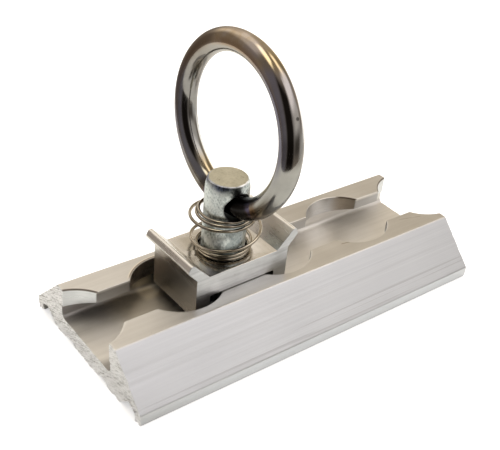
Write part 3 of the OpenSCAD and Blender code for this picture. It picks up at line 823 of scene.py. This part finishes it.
def build_stud():
    """A lathed pin whose cross-hole has rounded rims, all in quads."""
    nx, nz, ns = 24, 24, 16
    cut = math.asin(PATCH_X / SR)
    # columns round the shaft, starting at the +Y patch's -X side and going towards +X
    angles = [-cut + 2 * cut * i / nx for i in range(nx)]
    angles += [cut + (math.pi - 2 * cut) * i / ns for i in range(ns)]
    angles += [math.pi - cut + 2 * cut * i / nx for i in range(nx)]
    angles += [math.pi + cut + (math.pi - 2 * cut) * i / ns for i in range(ns)]
    m = len(angles)
    verts, faces = [], []

    def put(x, y, z):
        verts.append((x, y, z))
        return len(verts) - 1

    def ring_at(r, z, wob=0.0):
        return [put(r * math.sin(a), r * math.cos(a), z + wob * noise.noise(Vector((r * math.sin(a) * 0.9, r * math.cos(a) * 0.9, 3.0)))) for a in angles]

    def skin(lower, upper, cols=None):
        for j in cols if cols is not None else range(m):
            k = (j + 1) % m
            faces.append((lower[j], lower[k], upper[k], upper[j]))

    def foot_z(r):
        return TOPZ - LIP - 0.2 - (r - SLOT) * SLOPE

    below = [(0.0, FLOOR + 0.6), (FOOT_R - 0.8, FLOOR + 0.6), (FOOT_R - 0.55, FLOOR + 0.66), (FOOT_R - 0.25, FLOOR + 0.85), (FOOT_R - 0.06, FLOOR + 1.1), (FOOT_R, FLOOR + 1.35)]
    below += [(FOOT_R, foot_z(FOOT_R) - 0.45), (FOOT_R - 0.06, foot_z(FOOT_R) - 0.2), (FOOT_R - 0.25, foot_z(FOOT_R - 0.25) - 0.04), (FOOT_R - 0.5, foot_z(FOOT_R - 0.5))]
    below += [(SR + 0.4, foot_z(SR + 0.4)), (SR + 0.2, foot_z(SR + 0.2) + 0.03), (SR + 0.06, foot_z(SR) + 0.16), (SR, foot_z(SR) + 0.4)]
    below += [(SR, z) for z in (12, 14, 16, 18, 20, 22, 24, 25.2, EYE - PATCH_Z)]
    prev = None
    for r, z in below:
        if r == 0.0:
            centre = put(0, 0, z)
            prev = None
            continue
        cur = ring_at(r, z)
        if prev is None:
            faces.extend((centre, cur[(j + 1) % m], cur[j]) for j in range(m))
        else:
            skin(prev, cur)
        prev = cur
    # band that holds the cross-hole: plain columns at the sides, patches front and back
    side_cols = list(range(nx, nx + ns)) + list(range(2 * nx + ns, m))
    rows = [prev]
    for i in range(1, nz + 1):
        z = EYE - PATCH_Z + 2 * PATCH_Z * i / nz
        if i < nz:
            row = [None] * m
            r = shaft_r(z)
            for j in side_cols + [0, nx + ns]:
                row[j] = put(r * math.sin(angles[j]), r * math.cos(angles[j]), z)
        else:
            row = ring_at(shaft_r(z), z)
        rows.append(row)
    for lower, upper in zip(rows, rows[1:]):
        for j in side_cols:
            k = (j + 1) % m
            faces.append((lower[j], lower[k], upper[k], upper[j]))
    rims = []
    for c0, sign in ((0, 1), (nx + ns, -1)):
        # the patch's border, starting low on its first column, going round
        c1 = c0 + nx
        border = [(rows[0][c0 + i]) for i in range(nx)]
        border += [rows[i][c1 % m] for i in range(nz)]
        border += [rows[nz][(c1 - i) % m] for i in range(nx)]
        border += [rows[nz - i][c0] for i in range(nz)]
        outer = border
        k_n, f = 6, 0.28
        phis = []
        for v in border:
            phis.append(math.atan2(verts[v][2] - EYE, verts[v][0]))
        prev_loop = outer
        for s in range(1, k_n + 1):
            t = s / k_n
            loop = []
            for v, p in zip(border, phis):
                bx, bz = verts[v][0], verts[v][2] - EYE
                e = 1 - (1 - t) ** 1.3
                x = bx + ((EYE_R + f) * math.cos(p) - bx) * e
                z = bz + ((EYE_R + f) * math.sin(p) - bz) * e
                r = shaft_r(EYE + z)
                loop.append(put(x, sign * math.sqrt(r * r - x * x), EYE + z))
            for j in range(len(loop)):
                k = (j + 1) % len(loop)
                faces.append((prev_loop[j], prev_loop[k], loop[k], loop[j]))
            prev_loop = loop
        for s in range(1, 6):
            t = math.pi / 2 * s / 5
            rho = EYE_R + f * (1 - math.sin(t))
            loop = []
            for p in phis:
                x = rho * math.cos(p)
                r = shaft_r(EYE + rho * math.sin(p))
                loop.append(put(x, sign * (math.sqrt(r * r - x * x) - f * (1 - math.cos(t))), EYE + rho * math.sin(p)))
            for j in range(len(loop)):
                k = (j + 1) % len(loop)
                faces.append((prev_loop[j], prev_loop[k], loop[k], loop[j]))
            prev_loop = loop
        rims.append((prev_loop, phis))
    # bore between the two rims; the back rim's points run the other way round in x
    (la, pa), (lb, pb) = rims
    order = sorted(range(len(pb)), key=lambda i: pb[i] % (2 * math.pi))
    start = sorted(range(len(pa)), key=lambda i: pa[i] % (2 * math.pi))
    la = [la[i] for i in start]
    lb = [lb[i] for i in order]
    prev_loop = la
    steps = 12
    for s in range(1, steps + 1):
        if s < steps:
            t = s / steps
            loop = [put(*[verts[a][q] * (1 - t) + verts[b][q] * t for q in range(3)]) for a, b in zip(la, lb)]
        else:
            loop = lb
        for j in range(len(loop)):
            k = (j + 1) % len(loop)
            faces.append((prev_loop[j], prev_loop[k], loop[k], loop[j]))
        prev_loop = loop
    # top: rounded rim and a face that is not quite flat
    prev = rows[nz]
    for r, z, wob in ((shaft_r(35.4), 35.4, 0), (shaft_r(35.6), 35.6, 0), (shaft_r(35.75), 35.75, 0), (shaft_r(35.9), 35.9, 0), (shaft_r(36.02), 36.02, 0), (shaft_r(36.1), 36.1, 0), (4.15, 36.13, 0),
                      (3.6, TOP - 0.01, 0.03), (2.7, TOP - 0.015, 0.04), (1.7, TOP - 0.02, 0.05), (0.8, TOP - 0.02, 0.05)):
        cur = ring_at(r, z, -abs(wob) if wob else 0.0)
        skin(prev, cur)
        prev = cur
    centre = put(0, 0, TOP - 0.03)
    faces.extend((prev[j], prev[(j + 1) % m], centre) for j in range(m))
    return mesh_from("stud_body", [place(*v) for v in verts], faces, 40)


stud = link("stud_body", build_stud())
stud.data.materials.append(zinc_mat.m)
flat_faces_first(stud)
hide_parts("stud")
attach(stud, "stud")

# ---------------------------------------------------------------- keeper
KW, KH, KZ0, KZ1 = 8.2, 5.65, 12.85, 18.15
KDX, KDY = 0.15, 0.3
K_HALF = [
    (8.85, KZ0, 0.4), (8.85, 7.55, 0.3), (12.6, 7.55, 0.3), (12.6, KZ1, 0.0), (15.15, 21.05, 0.75), (14.1, 23.15, 0.75), (9.3, KZ1, 0.0),
]


def build_keeper():
    """The keeper: its outline swept across the track, with softened saw-cut edges and a hole for the stud."""
    full = K_HALF + [(-x, z, r) for x, z, r in reversed(K_HALF)]
    n0 = len(full)
    out, tags = [], []
    for i in range(n0):
        p, c, n = full[i - 1], full[i], full[(i + 1) % n0]
        if c[2] > 0:
            arc = arc_corner(p[:2], c[:2], n[:2], c[2], 6)
            out += arc
            tags += [i] * len(arc)
        else:
            out.append(tuple(float(v) for v in c[:2]))
            tags.append(i)
    n = len(out)
    # outward normals of the outline's corners
    pts = [Vector(p) for p in out]
    nrm = []
    for i in range(n):
        a, b, c = pts[i - 1], pts[i], pts[(i + 1) % n]
        u, w = (b - a).normalized(), (c - b).normalized()
        n1, n2 = Vector((u.y, -u.x)), Vector((w.y, -w.x))
        s = (n1 + n2)
        s = s / max(s.length_squared / 2, 1e-6)
        nrm.append(s)
    area = sum(pts[i - 1].x * pts[i].y - pts[i].x * pts[i - 1].y for i in range(n))
    if area < 0:
        nrm = [-v for v in nrm]
    soft = 0.13
    prof = [(soft * (1 - math.cos(math.pi / 2 * s / 4)), soft * (1 - math.sin(math.pi / 2 * s / 4))) for s in range(5)]
    # prof: (distance in from the cut face, inset of the outline)
    ys = [(-KW + d, i) for d, i in prof]
    ys += [(y, 0.0) for y in (-5.0, -2.5, 0.0, 2.5, 5.0)]
    ys += [(KW - d, i) for d, i in reversed(prof)]
    verts = []
    for y, inset in ys:
        for p, q in zip(pts, nrm):
            v = p - q * inset
            verts.append((v.x, y, v.y))
    faces = []
    # the plate's two flats, which the hole goes through, are filled apart
    top_i = [i for i in range(n) if tags[i] == 6 and tags[(i + 1) % n] == n0 - 7][0]
    last = max(i for i in range(n) if tags[i] == n0 - 1)
    flats = {top_i: KZ1, last: KZ0}
    for s in range(len(ys) - 1):
        inner = 4 <= s < len(ys) - 5
        for i in range(n):
            k = (i + 1) % n
            if inner and i in flats:
                continue
            faces.append((s * n + i, s * n + k, (s + 1) * n + k, (s + 1) * n + i))
    faces.append(tuple(range(n)))
    faces.append(tuple((len(ys) - 1) * n + i for i in reversed(range(n))))
    rim = 0.16
    N = 96
    lo_hi = []
    for i, z in flats.items():
        k = (i + 1) % n
        s0, s1 = 4, len(ys) - 5
        border = [s * n + i for s in range(s0, s1 + 1)] + [s * n + k for s in range(s1, s0 - 1, -1)]
        circle = []
        for a in range(N):
            t = 2 * math.pi * a / N
            circle.append(len(verts))
            verts.append(((KH + rim) * math.cos(t), (KH + rim) * math.sin(t), z))
        ids = border + circle
        p2 = [Vector(verts[v][:2]) for v in ids]
        e = [(a, (a + 1) % len(border)) for a in range(len(border))]
        e += [(len(border) + a, len(border) + (a + 1) % N) for a in range(N)]
        res = geometry.delaunay_2d_cdt(p2, e, [], 0, 1e-7)
        for f in res[2]:
            c = sum((res[0][v] for v in f), Vector((0, 0))) / len(f)
            if c.length < KH + rim * 0.6:
                continue
            t = [ids[res[3][v][0]] for v in f]
            faces.append(tuple(t))
        s = 1 if z == KZ1 else -1
        prev = circle
        for q in range(1, 5):
            t = math.pi / 2 * q / 4
            cur = []
            for a in range(N):
                w = 2 * math.pi * a / N
                r = KH + rim * (1 - math.sin(t))
                cur.append(len(verts))
                verts.append((r * math.cos(w), r * math.sin(w), z - s * rim * (1 - math.cos(t))))
            faces += [(prev[a], prev[(a + 1) % N], cur[(a + 1) % N], cur[a]) for a in range(N)]
            prev = cur
        lo_hi.append(prev)
    a_loop, b_loop = lo_hi
    faces += [(a_loop[a], a_loop[(a + 1) % N], b_loop[(a + 1) % N], b_loop[a]) for a in range(N)]
    return mesh_from("keeper_body", [place(x + KDX, y + KDY, z) for x, y, z in verts], faces, 33)


keeper = link("keeper_body", build_keeper())
keeper.data.materials.append(keeper_mat.m)
keeper.data.materials.append(keeper_cut_mat.m)
for f in keeper.data.polygons:
    if abs(f.normal.y) > 0.8 and abs(abs(f.center.y / MM - KDY) - KW) < 0.5:
        f.material_index = 1
flat_faces_first(keeper)
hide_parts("keeper")
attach(keeper, "keeper")

# ---------------------------------------------------------------- spring
WIRE = 0.72
# rows of the wire's middle, listed one by one: angle in degrees, radius, height
COIL = [
    (-560, 5.8, 18.58), (-450, 5.8, 18.6), (-300, 5.85, 19.0), (-220, 5.9, 19.32), (-130, 6.0, 19.5), (-40, 6.25, 20.1),
    (50, 6.7, 20.4), (140, 7.35, 20.7), (230, 7.55, 21.8), (320, 8.1, 23.6), (360, 8.25, 24.5), (410, 8.15, 25.3),
    (500, 7.85, 26.4), (590, 6.95, 26.75), (680, 6.5, 26.93), (860, 6.35, 27.32), (950, 6.3, 27.45), (1040, 6.2, 27.62),
    (1130, 6.05, 27.84), (1220, 5.9, 27.98), (1310, 5.75, 28.06), (1370, 5.65, 28.1),
]
A0, A1 = COIL[0][0], COIL[-1][0]


def coil_point(a):
    def eased(k):
        w = np.interp([a - 60, a - 30, a, a + 30, a + 60], [c[0] for c in COIL], [c[k] for c in COIL])
        return float(w @ np.array([1, 2, 2, 2, 1])) / 8
    r, z, t = eased(1), eased(2), math.radians(a)
    return Vector((r * math.cos(t), r * math.sin(t), z))


def build_spring():
    steps, sides = 900, 16
    verts, faces = [], []
    rows = []
    for i in range(steps + 1):
        a = A0 + (A1 - A0) * i / steps
        p = coil_point(a)
        t = (coil_point(a + 0.5) - coil_point(a - 0.5)).normalized()
        u = t.cross(Vector((0, 0, 1))).normalized()
        w = u.cross(t)
        r = WIRE / 2
        if i == 0 or i == steps:
            r *= 0.80
        row = []
        for k in range(sides):
            b = 2 * math.pi * k / sides
            v = p + (u * math.cos(b) + w * math.sin(b)) * r
            row.append(len(verts))
            verts.append(place(*v))
        rows.append(row)
    for a, b in zip(rows, rows[1:]):
        for k in range(sides):
            m = (k + 1) % sides
            faces.append((a[k], b[k], b[m], a[m]))
    faces.append(tuple(rows[0]))
    faces.append(tuple(reversed(rows[-1])))
    return mesh_from("spring_coil", verts, faces, 60)


spring = link("spring_coil", build_spring())
spring.data.materials.append(spring_mat.m)
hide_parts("spring")
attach(spring, "carriage")
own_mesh(spring)

# ---------------------------------------------------------------- floor and studio light
floor_mesh = mesh_from("floor", [(-3, -3, 0), (3, -3, 0), (3, 3, 0), (-3, 3, 0)], [(0, 1, 2, 3)], 0, False)
floor = link("floor", floor_mesh)
fm = Mat("floor_white")
fv = fm.noise(fm.coords(), 6, 2)
fm.join(fm.ramp(fv, [(0.3, (0.70, 0.70, 0.70)), (0.7, (0.72, 0.72, 0.72))]), fm.p.inputs["Base Color"])
fm.p.inputs["Roughness"].default_value = 0.9
fm.p.inputs["Specular IOR Level"].default_value = 0.1
fm.p.inputs["Emission Color"].default_value = (1, 0.995, 0.99, 1)
fm.p.inputs["Emission Strength"].default_value = 0.52
floor_mesh.materials.append(fm.m)

# The metal sees a small table top instead of the endless floor.
n_card = 96
card_mesh = mesh_from("table_top", [(0.02 + 0.13 * math.sin(2 * math.pi * i / n_card), 0.01 + 0.13 * math.cos(2 * math.pi * i / n_card), 0.00002) for i in range(n_card)], [tuple(range(n_card))[::-1]], 0, False)
card = link("table_top", card_mesh)
cm = Mat("table_paper")
cv = cm.noise(cm.coords(), 9, 3)
cm.join(cm.ramp(cv, [(0.3, (0.70, 0.70, 0.67)), (0.7, (0.74, 0.74, 0.71))]), cm.p.inputs["Base Color"])
cm.p.inputs["Roughness"].default_value = 0.9
cm.p.inputs["Specular IOR Level"].default_value = 0.1
card_mesh.materials.append(cm.m)
card.visible_camera = card.visible_diffuse = card.visible_shadow = card.visible_transmission = False
floor.visible_glossy = False

world = bpy.data.worlds.new("world")
scene.world = world
world.use_nodes = True
wt = world.node_tree
wbg = wt.nodes["Background"]


def w_node(kind, **values):
    n = wt.nodes.new(kind)
    for k, v in values.items():
        setattr(n, k, v)
    return n


def w_math(op, *args):
    n = w_node("ShaderNodeMath", operation=op)
    for i, v in enumerate(args):
        if hasattr(v, "is_output"):
            wt.links.new(v, n.inputs[i])
        else:
            n.inputs[i].default_value = v
    return n.outputs["Value"]


def w_soft(value, full, none):
    """1 where value is under full, falling smoothly to 0 at none."""
    r = w_node("ShaderNodeMapRange", interpolation_type="SMOOTHSTEP")
    r.inputs["From Min"].default_value = full
    r.inputs["From Max"].default_value = none
    r.inputs["To Min"].default_value = 1.0
    r.inputs["To Max"].default_value = 0.0
    wt.links.new(value, r.inputs["Value"])
    return r.outputs["Result"]


w_sep = w_node("ShaderNodeSeparateXYZ")
wt.links.new(w_node("ShaderNodeTexCoord").outputs["Generated"], w_sep.inputs[0])
wx, wy, wz = w_sep.outputs
w_el = w_math("ARCSINE", wz)


def panel(az, el, half_az, half_el, feather_az, feather_el):
    """A soft-edged light card or dark screen; angles in degrees, azimuth from +Y towards +X."""
    s, c = math.sin(math.radians(az)), math.cos(math.radians(az))
    ahead = w_math("ADD", w_math("MULTIPLY", wx, s), w_math("MULTIPLY", wy, c))
    aside = w_math("SUBTRACT", w_math("MULTIPLY", wx, c), w_math("MULTIPLY", wy, s))
    da = w_math("ABSOLUTE", w_math("ARCTAN2", aside, ahead))
    de = w_math("ABSOLUTE", w_math("SUBTRACT", w_el, math.radians(el)))
    r = math.radians
    return w_math("MULTIPLY", w_soft(da, r(half_az - feather_az), r(half_az + feather_az)), w_soft(de, r(half_el - feather_el), r(half_el + feather_el)))


def paint(base, fac, color):
    n = w_node("ShaderNodeMix", data_type="RGBA")
    a, b = [i for i in n.inputs if i.type == "RGBA"]
    f = [i for i in n.inputs if i.name == "Factor" and i.type == "VALUE"][0]
    wt.links.new(fac, f)
    if isinstance(base, tuple):
        a.default_value = (*base, 1)
    else:
        wt.links.new(base, a)
    b.default_value = (*color, 1)
    return [o for o in n.outputs if o.type == "RGBA"][0]


PANELS = [
    # azimuth, elevation, half-sizes, feathers, colour
    (165, 16, 40, 26, 16, 10, (0.50, 0.47, 0.44)),
    (66, 32, 34, 34, 14, 10, (0.56, 0.48, 0.37)),
    (86, 30, 14, 12, 8, 8, (0.30, 0.26, 0.21)),
    (3, 46, 31, 34, 14, 12, (1.12, 1.02, 0.89)),
    (318, 50, 24, 24, 12, 14, (0.70, 0.63, 0.56)),
    (318, 2, 34, 28, 12, 10, (0.30, 0.255, 0.215)),
    (276, 12, 22, 52, 8, 10, (0.20, 0.185, 0.205)),
    (148, 22, 32, 12, 12, 8, (0.80, 0.76, 0.71)),
    (140, 50, 44, 17, 12, 8, (1.50, 1.42, 1.38)),
    (91, 62, 21, 8, 8, 5, (2.5, 2.25, 1.9)),
    (320, 80, 66, 13, 16, 6, (2.7, 2.5, 2.1)),
    (226, 12, 30, 46, 9, 14, (0.016, 0.013, 0.011)),
    (168, -4, 26, 11, 16, 7, (0.13, 0.115, 0.10)),
    (112, -20, 30, 14, 14, 8, (0.95, 0.93, 0.88)),
    (66, -18, 30, 20, 8, 5, (2.5, 2.45, 2.35)),
]
sky = (0.36, 0.31, 0.26)
for a, e, ha, he, fa, fe, col in PANELS:
    sky = paint(sky, panel(a, e, ha, he, fa, fe), col)
wt.links.new(sky, wbg.inputs["Color"])
wbg.inputs["Strength"].default_value = 1.0
# behind the object the camera sees a plain pale wall
plain = w_node("ShaderNodeBackground")
plain.inputs["Color"].default_value = (0.96, 0.96, 0.96, 1)
pick = w_node("ShaderNodeMixShader")
wt.links.new(w_node("ShaderNodeLightPath").outputs["Is Camera Ray"], pick.inputs[0])
wt.links.new(wbg.outputs[0], pick.inputs[1])
wt.links.new(plain.outputs[0], pick.inputs[2])
wt.links.new(pick.outputs[0], [n for n in wt.nodes if n.type == "OUTPUT_WORLD"][0].inputs["Surface"])


def area(name, pos, aim, size, power, color=(1, 1, 1), glossy=True):
    d = bpy.data.lights.new(name, "AREA")
    d.shape = "RECTANGLE"
    d.size, d.size_y = size
    d.energy = power
    d.color = color
    o = bpy.data.objects.new(name, d)
    scene.collection.objects.link(o)
    o.location = pos
    o.rotation_euler = (Vector(aim) - Vector(pos)).to_track_quat("-Z", "Y").to_euler()
    o.visible_glossy = glossy
    return o


area("overhead", (0.0, 0.0, 1.2), (0, 0, 0), (2.4, 2.4), 22, (1, 0.99, 0.98), glossy=False)
scene.view_settings.view_transform = "Standard"
